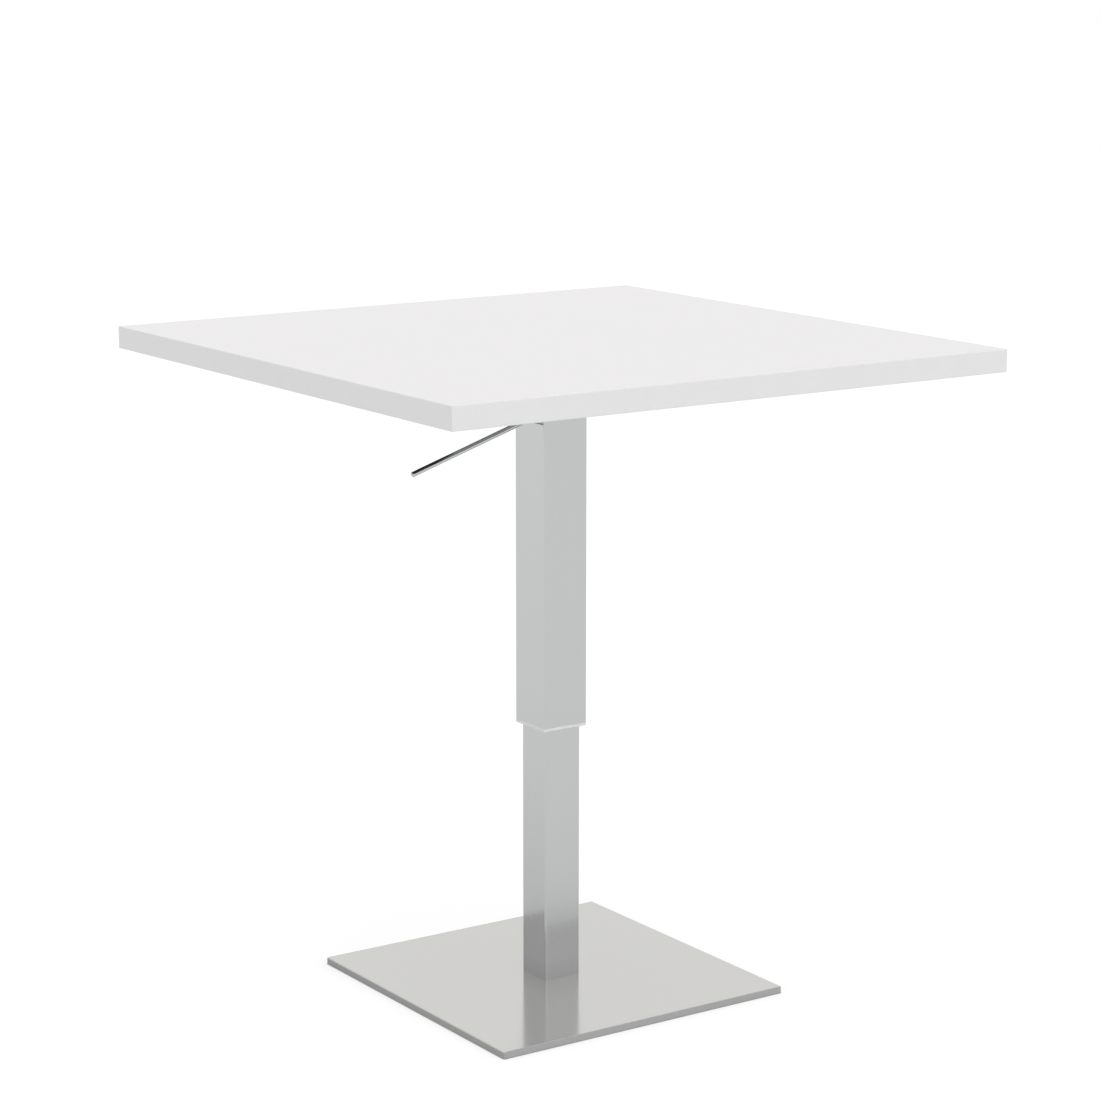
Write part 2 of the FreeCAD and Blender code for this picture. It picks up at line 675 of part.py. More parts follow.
lower_guide_bush = new_body("lower_guide_bush", "Levels.lip_bottom")
lip = new_sketch(lower_guide_bush, "lip")
draw_square(lip, "Levels.sleeve_side")
pad(lip, "Sizes.bush_lip")
dress(lower_guide_bush, "Fillet", "Sizes.sleeve_corner", upright_at(value("Levels.sleeve_side / 2")))
dress(lower_guide_bush, "Fillet", "Sizes.bush_rounding",
      at_height(0, value("Levels.sleeve_side / 2 - Sizes.sleeve_corner")))
liner = new_sketch(lower_guide_bush, "liner")
draw_square(liner, "Levels.sleeve_bore")
pad(liner, "Sizes.bush_lip + Sizes.bush_height")
bore = new_sketch(lower_guide_bush, "bore")
draw_square(bore, "Sizes.tube_side + 2 * Sizes.guide_gap")
pocket(bore, upwards=True)
dress(lower_guide_bush, "Fillet", "Levels.tube_corner",
      upright_at(value("Sizes.tube_side / 2 + Sizes.guide_gap")))

# ---------------------------------------------------------------- mounting plate and fasteners

top_flange = new_body("top_flange", "Levels.sleeve_top")
outline = new_sketch(top_flange, "outline")
draw_square(outline, "Sizes.flange_side")
pad(outline, "Sizes.flange_thickness")
dress(top_flange, "Fillet", "Sizes.flange_corner", upright_at(value("Sizes.flange_side / 2")))
mounting_holes = new_sketch(top_flange, "mounting_holes")
for across, along in quarter_places("Levels.mount_place"):
    draw_circle(mounting_holes, "Levels.top_screw_way", across, along)
pocket(mounting_holes, upwards=True)

flange_screws = []
flange_washers = []
threaded_inserts = []
for number, (across, along) in enumerate(quarter_places("Levels.mount_place")):
    head_bottom = "Levels.top_screw_bottom"
    shank = cylinder(f"top_shank_{number}", "Sizes.top_screw_shank",
                     "Levels.top_screw_end - Levels.top_screw_bottom",
                     across, along, head_bottom)
    dome = cone(f"top_dome_{number}", "Sizes.top_screw_head - 2 * Sizes.top_screw_head_rounding",
                "Sizes.top_screw_head", "Sizes.top_screw_head_rounding",
                across, along, head_bottom)
    rim = cylinder(f"top_rim_{number}", "Sizes.top_screw_head",
                   "Sizes.top_screw_head_height - Sizes.top_screw_head_rounding",
                   across, along, head_bottom + " + Sizes.top_screw_head_rounding")
    key = hexagon(f"top_key_{number}", "Sizes.top_screw_key", "Sizes.top_screw_key_depth",
                  across, along, head_bottom)
    head = combine("Fuse", f"top_head_{number}", dome, rim)
    solid = combine("Fuse", f"top_blank_{number}", head, shank)
    flange_screws.append(combine("Cut", f"top_screw_{number}", solid, key))
    disc = cylinder(f"washer_disc_{number}", "Sizes.washer_diameter", "Sizes.washer_thickness",
                    across, along, "Levels.washer_bottom")
    hole = cylinder(f"washer_hole_{number}", "Levels.top_screw_way",
                    "Sizes.washer_thickness", across, along, "Levels.washer_bottom")
    flange_washers.append(combine("Cut", f"washer_{number}", disc, hole))
    barrel = cylinder(f"insert_barrel_{number}", "Levels.insert_diameter", "Sizes.insert_length",
                      across, along, "Levels.top_bottom")
    thread = cylinder(f"insert_thread_{number}", "Levels.top_screw_hole",
                      "Sizes.insert_length", across, along, "Levels.top_bottom")
    threaded_inserts.append(combine("Cut", f"insert_{number}", barrel, thread))
group("flange_screws", flange_screws)
group("flange_washers", flange_washers)
group("threaded_inserts", threaded_inserts)

# ---------------------------------------------------------------- table top


def panel(name, base, thickness):
    """A square layer of the table top between the edge strips."""
    body = new_body(name, base)
    outline = new_sketch(body, "outline")
    draw_square(outline, "Levels.core_side")
    pad(outline, thickness)
    return body


def drill_for_inserts(body, depth):
    """Holes from below for the four threaded inserts."""
    holes = new_sketch(body, "insert_holes")
    for across, along in quarter_places("Levels.mount_place"):
        draw_circle(holes, "Levels.insert_diameter + 2 * Sizes.thread_gap", across, along)
    pocket(holes, depth, upwards=True)


backing_laminate = panel("backing_laminate", "Levels.top_bottom", "Sizes.laminate")
drill_for_inserts(backing_laminate, None)
tabletop_core = panel("tabletop_core", "Levels.core_bottom", "Levels.core_thickness")
drill_for_inserts(tabletop_core, "Sizes.insert_length - Sizes.laminate")
panel("top_laminate", "Levels.core_bottom + Levels.core_thickness", "Sizes.laminate")


def edge_band(name, facing_x, facing_y):
    """One edge strip; the front and back strips run the full width and cover the others."""
    body = new_body(name, "Levels.top_bottom")
    outline = new_sketch(body, "outline")
    near, far = "Levels.core_side / 2", "Sizes.top_side / 2"
    if facing_y:
        low, high = (near, far) if facing_y > 0 else ("-" + far, "-" + near)
        draw_box(outline, "-" + far, far, low, high)
    else:
        low, high = (near, far) if facing_x > 0 else ("-" + far, "-" + near)
        draw_box(outline, low, high, "-" + near, near)
    pad(outline, "Sizes.top_thickness")
    outer = value(far)

    def long_edge(middle, along):
        outermost = abs(middle.x * facing_x + middle.y * facing_y - outer) < NEAR
        return outermost and abs(along.z) < NEAR

    if facing_y:
        dress(body, "Fillet", "Levels.band_corner", upright_at(outer))
    dress(body, "Fillet", "Levels.band_rounding", long_edge)


edge_band("edge_band_front", 0, -1)
edge_band("edge_band_back", 0, 1)
edge_band("edge_band_left", -1, 0)
edge_band("edge_band_right", 1, 0)

# ---------------------------------------------------------------- gas spring, lifting half

spring_plate = new_body("spring_plate", "Levels.spring_plate_bottom")
outline = new_sketch(spring_plate, "outline")
draw_square(outline, "Levels.sleeve_bore - 2 * Sizes.spring_plate_gap")
pad(outline, "Sizes.spring_plate_thickness")
dress(spring_plate, "Fillet", "Sizes.spring_plate_corner",
      upright_at(value("Levels.sleeve_bore / 2 - Sizes.spring_plate_gap")))
rod_hole = new_sketch(spring_plate, "rod_hole")
draw_circle(rod_hole, "Levels.stud_hole")
pocket(rod_hole, upwards=True)

nut_blank = hexagon("lock_nut_blank", "Sizes.nut_width", "Sizes.nut_height",
                    base="Levels.lock_nut_bottom")
nut_bore = cylinder("lock_nut_bore", "Levels.stud_hole", "Sizes.nut_height",
                    base="Levels.lock_nut_bottom")
name_node(combine("Cut", "Cut_lock_nut", nut_blank, nut_bore), "lock_nut")

piston_rod = new_body("piston_rod", "Levels.piston_bottom")
profile = new_sketch(piston_rod, "profile", "XZ_Plane")
draw_polygon(profile, [
    ("Levels.rod_bore / 2", "0"),
    ("Sizes.stud_diameter / 2", "0"),
    ("Sizes.stud_diameter / 2", "Levels.rod_length - Sizes.rod_chamfer"),
    ("Sizes.stud_diameter / 2 - Sizes.rod_chamfer", "Levels.rod_length"),
    ("Levels.rod_bore / 2", "Levels.rod_length"),
])
turn(profile)
ring_body("piston", "Levels.cylinder_bore - 2 * Sizes.sliding_gap", "Levels.stud_hole",
          "Sizes.piston_height", "Levels.piston_bottom")

# ---------------------------------------------------------------- release head

release_head = new_body("release_head", "Levels.spring_plate_top")
outline = new_sketch(release_head, "outline")
half_width = "Levels.head_width / 2"
draw_box(outline, "-Levels.head_front", "Sizes.head_back", "-" + half_width, half_width)
pad(outline, "Levels.head_height")


def head_corner(middle, along):
    """The four upright edges of the release head."""
    return abs(along.z) > NEARLY_STRAIGHT


dress(release_head, "Fillet", "Sizes.head_rounding", head_corner)
slot = new_sketch(release_head, "slot", "XZ_Plane")
open_front = f"-{OVERSHOOT} * Levels.head_front"
open_top = f"{OVERSHOOT} * Levels.head_height"
draw_polygon(slot, [
    (open_front, "Sizes.head_step"),
    ("-Levels.head_floor_reach", "Sizes.head_step"),
    ("-Levels.head_floor_reach", "Sizes.head_floor"),
    ("Levels.head_floor_reach", "Sizes.head_floor"),
    ("Levels.head_floor_reach", open_top),
    (open_front, open_top),
])
pocket(slot, "Levels.fork_width", both_ways=True)
thread = new_sketch(release_head, "thread")
draw_circle(thread, "Levels.stud_hole")
pocket(thread, upwards=True)
pivot_hole = new_sketch(release_head, "pivot_hole", "XZ_Plane")
draw_circle(pivot_hole, "Levels.pivot_hole", "Levels.pivot_x",
            "Levels.pivot_height - Levels.spring_plate_top")
pocket(pivot_hole, both_ways=True)

pivot_body = new_body("lever_pivot", "Levels.pivot_height")
face = new_sketch(pivot_body, "face", "XZ_Plane")
draw_circle(face, "Sizes.pivot_diameter", "Levels.pivot_x")
pad(face, "Levels.pivot_length", both_ways=True)

clips = []
for number, side in enumerate((1, -1)):
    outer_face = f"{side} * (Levels.head_width / 2 + Sizes.clip_thickness)"
    disc = cylinder(f"clip_disc_{number}", "Levels.clip_diameter", "Sizes.clip_thickness",
                    "Levels.pivot_x", outer_face, "Levels.pivot_height")
    hole = cylinder(f"clip_hole_{number}", "Levels.pivot_hole",
                    "Sizes.clip_thickness", "Levels.pivot_x", outer_face, "Levels.pivot_height")
    clips.append(combine("Cut", f"clip_{number}", facing(disc, side), facing(hole, side)))
group("pivot_clips", clips)

# ---------------------------------------------------------------- lever and release pin


def tilted_body(name):
    """A body along the bar: its origin is the nose's centre and the bar runs along -X."""
    body = new_body(name, "Levels.nose_height")
    body.Placement.Rotation = FreeCAD.Rotation(FreeCAD.Vector(0, -1, 0), value("Sizes.lever_angle"))
    body.setExpression("Placement.Rotation.Angle", "Sizes.lever_angle")
    return body


lever_hub = tilted_body("lever_hub")
side_view = new_sketch(lever_hub, "side_view", "XZ_Plane")
half_height = "Levels.hub_height / 2"
draw_polygon(side_view, [
    ("-Levels.hub_length", "-" + half_height),
    ("-Sizes.nose_relief", "-" + half_height),
    ("0", "0"),
    ("0", half_height),
    ("-Levels.hub_length", half_height),
])
pad(side_view, "Levels.hub_width", both_ways=True)
nose = new_sketch(lever_hub, "nose", "XZ_Plane")
draw_circle(nose, "Levels.hub_height")
pad(nose, "Levels.hub_width", both_ways=True)
pivot_hole = new_sketch(lever_hub, "pivot_hole", "XZ_Plane")
draw_circle(pivot_hole, "Sizes.pivot_diameter + 2 * Sizes.pivot_fit", "-Sizes.pivot_distance")
pocket(pivot_hole, both_ways=True)
socket = new_sketch(lever_hub, "socket", "YZ_Plane", "-Levels.hub_length")
draw_circle(socket, "Sizes.lever_diameter + 2 * Sizes.thread_gap")
pocket(socket, "Levels.hub_length - Levels.socket_end", upwards=True)

lever_rod = tilted_body("lever_rod")
section = new_sketch(lever_rod, "section", "YZ_Plane", "-Sizes.lever_length")
draw_circle(section, "Sizes.lever_diameter")
pad(section, "Sizes.lever_length - Levels.socket_end")


def bar_tip(middle, along):
    """The round edge at the bar's free end."""
    return abs(middle.x + value("Sizes.lever_length")) < NEAR


dress(lever_rod, "Fillet", "Levels.lever_tip", bar_tip)

release_pin = new_body("release_pin", "Levels.pin_bottom")
section = new_sketch(release_pin, "section")
draw_circle(section, "Sizes.pin_diameter")
pad(section, "Levels.pin_length")


def pin_end(middle, along):
    """The round edge at the pin's upper end."""
    return abs(middle.z - value("Levels.pin_length")) < NEAR


dress(release_pin, "Fillet", "Levels.pin_tip", pin_end)

# ---------------------------------------------------------------- checks and files

doc.recompute()
for item in doc.Objects:
    if "Invalid" in item.State or "Error" in item.State:
        raise RuntimeError(f"{item.Name} failed: {item.State}")
for item in node_objects:
    if item.Shape.isNull() or not item.Shape.isValid() or not item.Shape.Solids:
        raise RuntimeError(f"{item.Label} has no valid solid")
os.makedirs("parts", exist_ok=True)
for item in node_objects:
    item.Shape.exportStep(f"parts/{item.Label}.step")
print(f"{len(node_objects)} pieces written")
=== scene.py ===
import math

import bmesh
import bpy
from mathutils import Matrix, Vector


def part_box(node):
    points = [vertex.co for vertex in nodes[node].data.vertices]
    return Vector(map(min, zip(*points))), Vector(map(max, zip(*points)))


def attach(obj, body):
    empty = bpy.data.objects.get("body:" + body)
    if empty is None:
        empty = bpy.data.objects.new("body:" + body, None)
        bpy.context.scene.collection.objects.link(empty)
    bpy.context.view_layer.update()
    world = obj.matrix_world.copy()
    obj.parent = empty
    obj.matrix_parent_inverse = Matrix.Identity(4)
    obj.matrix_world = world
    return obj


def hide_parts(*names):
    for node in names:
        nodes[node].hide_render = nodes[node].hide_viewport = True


# Looks of the telescoping pedestal table: satin stainless steel column and base plate, a white
# laminated top with plastic edging, a polished release bar, and the studio that it stands in.
# Metres, +Z up, origin on the floor in the middle of the table.

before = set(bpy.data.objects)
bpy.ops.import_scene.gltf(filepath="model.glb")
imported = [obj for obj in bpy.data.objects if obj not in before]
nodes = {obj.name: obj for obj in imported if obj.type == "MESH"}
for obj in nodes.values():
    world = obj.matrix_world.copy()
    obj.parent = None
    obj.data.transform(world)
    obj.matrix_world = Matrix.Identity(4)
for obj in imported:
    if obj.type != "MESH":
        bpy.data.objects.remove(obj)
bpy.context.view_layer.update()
MM = 0.001

# ---------------------------------------------------------------- camera

CAMERA_PLACE = (-2.05062, -3.02705, 1.28053)
CAMERA_PITCH = 11.54  # degrees below the horizon
CAMERA_TURN = -34.096  # degrees about +Z
CAMERA_LENS = 102.79  # mm, on a sensor 36 mm wide
CAMERA_SENSOR = 36


def set_camera():
    """A long lens from the front left, a little above the table."""
    lens = bpy.data.cameras.new("camera")
    lens.lens = CAMERA_LENS
    lens.sensor_width = CAMERA_SENSOR
    camera = bpy.data.objects.new("camera", lens)
    camera.location = CAMERA_PLACE
    camera.rotation_euler = (math.radians(90 - CAMERA_PITCH), 0, math.radians(CAMERA_TURN))
    bpy.context.scene.collection.objects.link(camera)
    bpy.context.scene.camera = camera


# ---------------------------------------------------------------- shader helpers


def linear(code):
    """An sRGB hex colour as linear red, green, blue and full alpha."""
    channels = []
    for start in (0, 2, 4):
        share = int(code[start:start + 2], 16) / 255
        channels.append(share / 12.92 if share <= 0.04045 else ((share + 0.055) / 1.055) ** 2.4)
    return (*channels, 1.0)


def feed(node, inputs):
    """Give a node's inputs their values or their links."""
    for name, source in inputs.items():
        if isinstance(source, bpy.types.NodeSocket):
            node.id_data.links.new(source, node.inputs[name])
        else:
            node.inputs[name].default_value = source


def add(tree, kind, inputs, **settings):
    """Add a node with its settings and links."""
    made = tree.nodes.new(kind)
    for name, setting in settings.items():
        setattr(made, name, setting)
    feed(made, inputs)
    return made


def new_material(name):
    """A material, its node tree and its Principled shader."""
    material = bpy.data.materials.new(name)
    material.use_nodes = True
    tree = material.node_tree
    return material, tree, tree.nodes["Principled BSDF"]


# ---------------------------------------------------------------- materials

NOISE_LOW, NOISE_HIGH = 0.3, 0.7  # where nearly all of a noise's values lie
GRIND_WIDTH = 0.5 * MM  # real belt marks are under 0.1 mm; drawn wider so that they show
GRIND_LENGTH = 60 * MM
WIPED = 0.01  # how much rougher and smoother the clouds of wiping are
HANDLING = 70 * MM  # size of the cloudy patches that wiping and handling leave
SCATTER = 0.03  # how much rougher a furrow is, and how much smoother a ridge
CUT_EDGE = 0.75  # a face that looks less upwards than this is a cut edge of the plate
SIDE_BEVEL_LIFT = 0.1  # how much a face that looks left or right also counts as looking upwards, so that the bevels there keep the ground finish and stay bright
CUT_ROUGHNESS = 0.6
CUT_METALLIC = 0.1  # the rest is scale left by the cut
FOOT_SHADE_REACH = 26 * MM  # how high the painted shade at the tube's foot reaches
FOOT_SHADE_SHARE = 0.3  # at the very foot
FOOT_SHADE_COLOUR = "a3a5a4"


def brushed_stainless(name, dark, light, roughness, grain, metallic=1.0, edge=None, foot=None):
    """304 stainless steel, belt ground to a satin: fine streaks along one axis that soften what
    the metal mirrors, faint clouds where it has been wiped, and a painted shade that fades out
    upwards from the height of its foot. Cut edges are matt and sawn; those that face left and
    right are painted darker, as shade, than those at the front and back."""
    material, tree, surface = new_material(name)
    stretch = [1 / GRIND_WIDTH] * 3
    stretch["XYZ".index(grain)] = 1 / GRIND_LENGTH
    place = add(tree, "ShaderNodeTexCoord", {})
    ground = add(tree, "ShaderNodeMapping", {"Vector": place.outputs["Object"], "Scale": stretch})
    marks = add(tree, "ShaderNodeTexNoise", {"Vector": ground.outputs["Vector"], "Scale": 1.0,
                                             "Detail": 2.0})
    clouds = add(tree, "ShaderNodeTexNoise", {"Vector": place.outputs["Object"],
                                              "Scale": 1 / HANDLING, "Detail": 2.0})
    mark_share = add(tree, "ShaderNodeMapRange", {"Value": marks.outputs["Fac"],
                                                  "From Min": NOISE_LOW, "From Max": NOISE_HIGH})
    tone = add(tree, "ShaderNodeMix", {0: mark_share.outputs["Result"], 6: linear(dark),
                                       7: linear(light)}, data_type="RGBA")
    wiped = add(tree, "ShaderNodeMapRange", {
        "Value": clouds.outputs["Fac"], "From Min": NOISE_LOW, "From Max": NOISE_HIGH,
        "To Min": roughness - WIPED, "To Max": roughness + WIPED})
    furrow = add(tree, "ShaderNodeMapRange", {"Value": mark_share.outputs["Result"],
                                              "To Min": -SCATTER, "To Max": SCATTER})
    gloss = add(tree, "ShaderNodeMath", {0: wiped.outputs["Result"],
                                         1: furrow.outputs["Result"]}, operation="ADD")
    relief = add(tree, "ShaderNodeBump", {"Height": marks.outputs["Fac"], "Strength": 0.2,
                                          "Distance": 0.003 * MM})
    feed(surface, {"Metallic": metallic, "Base Color": tone.outputs[2],
                   "Roughness": gloss.outputs["Value"], "Normal": relief.outputs["Normal"]})
    if edge:
        facing = add(tree, "ShaderNodeSeparateXYZ", {"Vector": place.outputs["Normal"]})
        side_facing = add(tree, "ShaderNodeMath", {0: facing.outputs["X"]}, operation="ABSOLUTE")
        height = add(tree, "ShaderNodeMath", {0: facing.outputs["Z"]}, operation="ABSOLUTE")
        level = add(tree, "ShaderNodeMath", {0: side_facing.outputs["Value"], 1: SIDE_BEVEL_LIFT,
                                             2: height.outputs["Value"]},
                    operation="MULTIPLY_ADD")
        side = add(tree, "ShaderNodeMath", {0: level.outputs["Value"], 1: CUT_EDGE},
                   operation="LESS_THAN")
        # painted shade: cut edges that face left and right get the second, darker colour
        shaded_cut_tone = add(tree, "ShaderNodeMix", {0: side_facing.outputs["Value"],
                                               6: linear(edge[0]), 7: linear(edge[1])},
                       data_type="RGBA")
        cut = add(tree, "ShaderNodeMix", {0: side.outputs["Value"], 6: tone.outputs[2],
                                          7: shaded_cut_tone.outputs[2]}, data_type="RGBA")
        matt = add(tree, "ShaderNodeMix", {0: side.outputs["Value"], 2: gloss.outputs["Value"],
                                           3: CUT_ROUGHNESS})
        scaled = add(tree, "ShaderNodeMapRange", {"Value": side.outputs["Value"],
                                                  "To Min": metallic, "To Max": CUT_METALLIC})
        feed(surface, {"Base Color": cut.outputs[2], "Roughness": matt.outputs[0],
                       "Metallic": scaled.outputs["Result"]})
    if foot:
        point = add(tree, "ShaderNodeSeparateXYZ", {"Vector": place.outputs["Object"]})
        # the film here is a painted shade: the tube's foot is mixed towards a darker grey that
        # fades out upwards
        film = add(tree, "ShaderNodeMapRange", {
            "Value": point.outputs["Z"], "From Min": foot, "From Max": foot + FOOT_SHADE_REACH,
            "To Min": FOOT_SHADE_SHARE, "To Max": 0.0})
        foot_shaded = add(tree, "ShaderNodeMix", {0: film.outputs["Result"], 6: tone.outputs[2],
                                             7: linear(FOOT_SHADE_COLOUR)}, data_type="RGBA")
        feed(surface, {"Base Color": foot_shaded.outputs[2]})
    return material


def polished_chrome(name):
    """Bright chrome plate on a drawn bar: a clear mirror with the faint long waves of drawing."""
    material, tree, surface = new_material(name)
    place = add(tree, "ShaderNodeTexCoord", {})
    drawn = add(tree, "ShaderNodeMapping", {"Vector": place.outputs["Object"],
                                            "Scale": (1 / (25 * MM), 1 / (2 * MM), 1 / (2 * MM))})
    waves = add(tree, "ShaderNodeTexNoise", {"Vector": drawn.outputs["Vector"], "Scale": 1.0})
    haze = add(tree, "ShaderNodeTexNoise", {"Vector": place.outputs["Object"],
                                            "Scale": 1 / (8 * MM)})
    tone = add(tree, "ShaderNodeMix", {0: haze.outputs["Fac"], 6: linear("c3c5c7"),
                                       7: linear("cdcfd0")}, data_type="RGBA")
    gloss = add(tree, "ShaderNodeMapRange", {"Value": haze.outputs["Fac"], "To Min": 0.02,
                                             "To Max": 0.06})
    relief = add(tree, "ShaderNodeBump", {"Height": waves.outputs["Fac"], "Strength": 0.3,
                                          "Distance": 0.01 * MM})
    feed(surface, {"Metallic": 1.0, "Base Color": tone.outputs[2],
                   "Roughness": gloss.outputs["Result"], "Normal": relief.outputs["Normal"]})
    return material


def zinc_plate(name):
    """Bright zinc on steel fasteners: bluish grey with cloudy passivation."""
    material, tree, surface = new_material(name)
    place = add(tree, "ShaderNodeTexCoord", {})
    clouds = add(tree, "ShaderNodeTexNoise", {"Vector": place.outputs["Object"],
                                              "Scale": 1 / (3 * MM), "Detail": 4.0})
    share = add(tree, "ShaderNodeMapRange", {"Value": clouds.outputs["Fac"],
                                             "From Min": NOISE_LOW, "From Max": NOISE_HIGH})
    tone = add(tree, "ShaderNodeMix", {0: share.outputs["Result"], 6: linear("a9aeb4"),
                                       7: linear("c3c6c9")}, data_type="RGBA")
    gloss = add(tree, "ShaderNodeMapRange", {"Value": share.outputs["Result"], "To Min": 0.3,
                                             "To Max": 0.42})
    feed(surface, {"Metallic": 1.0, "Base Color": tone.outputs[2],
                   "Roughness": gloss.outputs["Result"]})
    return material


def weld_metal(name):
    """Stainless weld, pickled clean: paler and frostier than the ground steel, with straw and
    grey heat tint left in its ripples."""
    material, tree, surface = new_material(name)
    place = add(tree, "ShaderNodeTexCoord", {})
    tint = add(tree, "ShaderNodeTexNoise", {"Vector": place.outputs["Object"],
                                            "Scale": 1 / (5 * MM), "Detail": 3.0})
    frost = add(tree, "ShaderNodeTexNoise", {"Vector": place.outputs["Object"],
                                             "Scale": 1 / (0.4 * MM), "Detail": 2.0})
    share = add(tree, "ShaderNodeMapRange", {"Value": tint.outputs["Fac"],
                                             "From Min": NOISE_LOW, "From Max": NOISE_HIGH})
    tone = add(tree, "ShaderNodeMix", {0: share.outputs["Result"], 6: linear("a59d92"),
                                       7: linear("bdbfc0")}, data_type="RGBA")
    gloss = add(tree, "ShaderNodeMapRange", {"Value": frost.outputs["Fac"], "To Min": 0.32,
                                             "To Max": 0.5})
    relief = add(tree, "ShaderNodeBump", {"Height": frost.outputs["Fac"], "Strength": 0.3,
                                          "Distance": 0.03 * MM})
    feed(surface, {"Metallic": 1.0, "Base Color": tone.outputs[2],
                   "Roughness": gloss.outputs["Result"], "Normal": relief.outputs["Normal"]})
    return material


def white_laminate(name):
    """High pressure laminate with a fine pearl texture: an even white with a low, broken sheen."""
    material, tree, surface = new_material(name)
    place = add(tree, "ShaderNodeTexCoord", {})
    pearl = add(tree, "ShaderNodeTexNoise", {"Vector": place.outputs["Object"],
                                             "Scale": 1 / (0.9 * MM), "Detail": 1.0})
    pulp = add(tree, "ShaderNodeTexNoise", {"Vector": place.outputs["Object"],
                                            "Scale": 1 / (14 * MM), "Detail": 3.0})
    tone = add(tree, "ShaderNodeMix", {0: pulp.outputs["Fac"], 6: linear("eceaeb"),
                                       7: linear("eeecee")}, data_type="RGBA")
    gloss = add(tree, "ShaderNodeMapRange", {
        "Value": pearl.outputs["Fac"], "From Min": NOISE_LOW, "From Max": NOISE_HIGH,
        "To Min": 0.38, "To Max": 0.5})
    relief = add(tree, "ShaderNodeBump", {"Height": pearl.outputs["Fac"], "Strength": 0.3,
                                          "Distance": 0.015 * MM})
    feed(surface, {"IOR": 1.5, "Base Color": tone.outputs[2],
                   "Roughness": gloss.outputs["Result"], "Normal": relief.outputs["Normal"]})
    return material


def plastic_edging(name):
    """ABS edging, extruded, glued on and scraped: a soft satin white with lines along its run."""
    material, tree, surface = new_material(name)
    place = add(tree, "ShaderNodeTexCoord", {})
    drawn = add(tree, "ShaderNodeMapping", {
        "Vector": place.outputs["Object"], "Scale": (1 / (80 * MM), 1 / (80 * MM), 1 / (0.7 * MM))})
    lines = add(tree, "ShaderNodeTexNoise", {"Vector": drawn.outputs["Vector"], "Scale": 1.0})
    pigment = add(tree, "ShaderNodeTexNoise", {"Vector": place.outputs["Object"],
                                               "Scale": 1 / (30 * MM)})
    tone = add(tree, "ShaderNodeMix", {0: pigment.outputs["Fac"], 6: linear("e8e8e8"),
                                       7: linear("ebebeb")}, data_type="RGBA")
    gloss = add(tree, "ShaderNodeMapRange", {
        "Value": lines.outputs["Fac"], "From Min": NOISE_LOW, "From Max": NOISE_HIGH,
        "To Min": 0.42, "To Max": 0.5})
    relief = add(tree, "ShaderNodeBump", {"Height": lines.outputs["Fac"], "Strength": 0.15,
                                          "Distance": 0.01 * MM})
    feed(surface, {"IOR": 1.53, "Base Color": tone.outputs[2],
                   "Roughness": gloss.outputs["Result"], "Normal": relief.outputs["Normal"]})
    return material


def balancing_sheet(name):
    """Phenolic balancing sheet under the top: near black, matt, with its release paper's grain."""
    material, tree, surface = new_material(name)
    place = add(tree, "ShaderNodeTexCoord", {})
    grain = add(tree, "ShaderNodeTexNoise", {"Vector": place.outputs["Object"],
                                             "Scale": 1 / (1.2 * MM), "Detail": 3.0})
    tone = add(tree, "ShaderNodeMix", {0: grain.outputs["Fac"], 6: linear("1d1c1b"),
                                       7: linear("282725")}, data_type="RGBA")
    gloss = add(tree, "ShaderNodeMapRange", {
        "Value": grain.outputs["Fac"], "From Min": NOISE_LOW, "From Max": NOISE_HIGH,
        "To Min": 0.55, "To Max": 0.7})
    relief = add(tree, "ShaderNodeBump", {"Height": grain.outputs["Fac"], "Strength": 0.4,
                                          "Distance": 0.05 * MM})
    feed(surface, {"IOR": 1.5, "Base Color": tone.outputs[2],
                   "Roughness": gloss.outputs["Result"], "Normal": relief.outputs["Normal"]})
    return material


def moulded_nylon(name):
    """Natural nylon 6, injection moulded: milky, a little translucent, finely eroded surface."""
    material, tree, surface = new_material(name)
    place = add(tree, "ShaderNodeTexCoord", {})
    skin = add(tree, "ShaderNodeTexNoise", {"Vector": place.outputs["Object"],
                                            "Scale": 1 / (0.6 * MM)})
    milk = add(tree, "ShaderNodeTexNoise", {"Vector": place.outputs["Object"],
                                            "Scale": 1 / (9 * MM)})
    tone = add(tree, "ShaderNodeMix", {0: milk.outputs["Fac"], 6: linear("edeeec"),
                                       7: linear("f1f2f0")}, data_type="RGBA")
    gloss = add(tree, "ShaderNodeMapRange", {
        "Value": skin.outputs["Fac"], "From Min": NOISE_LOW, "From Max": NOISE_HIGH,
        "To Min": 0.42, "To Max": 0.55})
    relief = add(tree, "ShaderNodeBump", {"Height": skin.outputs["Fac"], "Strength": 0.3,
                                          "Distance": 0.02 * MM})
    feed(surface, {"IOR": 1.53, "Subsurface Weight": 0.1, "Subsurface Radius": (1, 1, 1),
                   "Subsurface Scale": 1.5 * MM, "Base Color": tone.outputs[2],
                   "Roughness": gloss.outputs["Result"],
                   "Normal": relief.outputs["Normal"]})
    return material


def moulded_rubber(name):
    """Black rubber with a stippled, dusty skin."""
    material, tree, surface = new_material(name)
    place = add(tree, "ShaderNodeTexCoord", {})
    skin = add(tree, "ShaderNodeTexNoise", {"Vector": place.outputs["Object"],
                                            "Scale": 1 / (0.8 * MM), "Detail": 3.0})
    dust = add(tree, "ShaderNodeTexNoise", {"Vector": place.outputs["Object"],
                                            "Scale": 1 / (6 * MM)})
    tone = add(tree, "ShaderNodeMix", {0: dust.outputs["Fac"], 6: linear("1b1b1b"),
                                       7: linear("2a2a29")}, data_type="RGBA")
    gloss = add(tree, "ShaderNodeMapRange", {
        "Value": skin.outputs["Fac"], "From Min": NOISE_LOW, "From Max": NOISE_HIGH,
        "To Min": 0.7, "To Max": 0.9})
    relief = add(tree, "ShaderNodeBump", {"Height": skin.outputs["Fac"], "Strength": 0.5,
                                          "Distance": 0.05 * MM})
    feed(surface, {"IOR": 1.52, "Base Color": tone.outputs[2],
                   "Roughness": gloss.outputs["Result"], "Normal": relief.outputs["Normal"]})
    return material


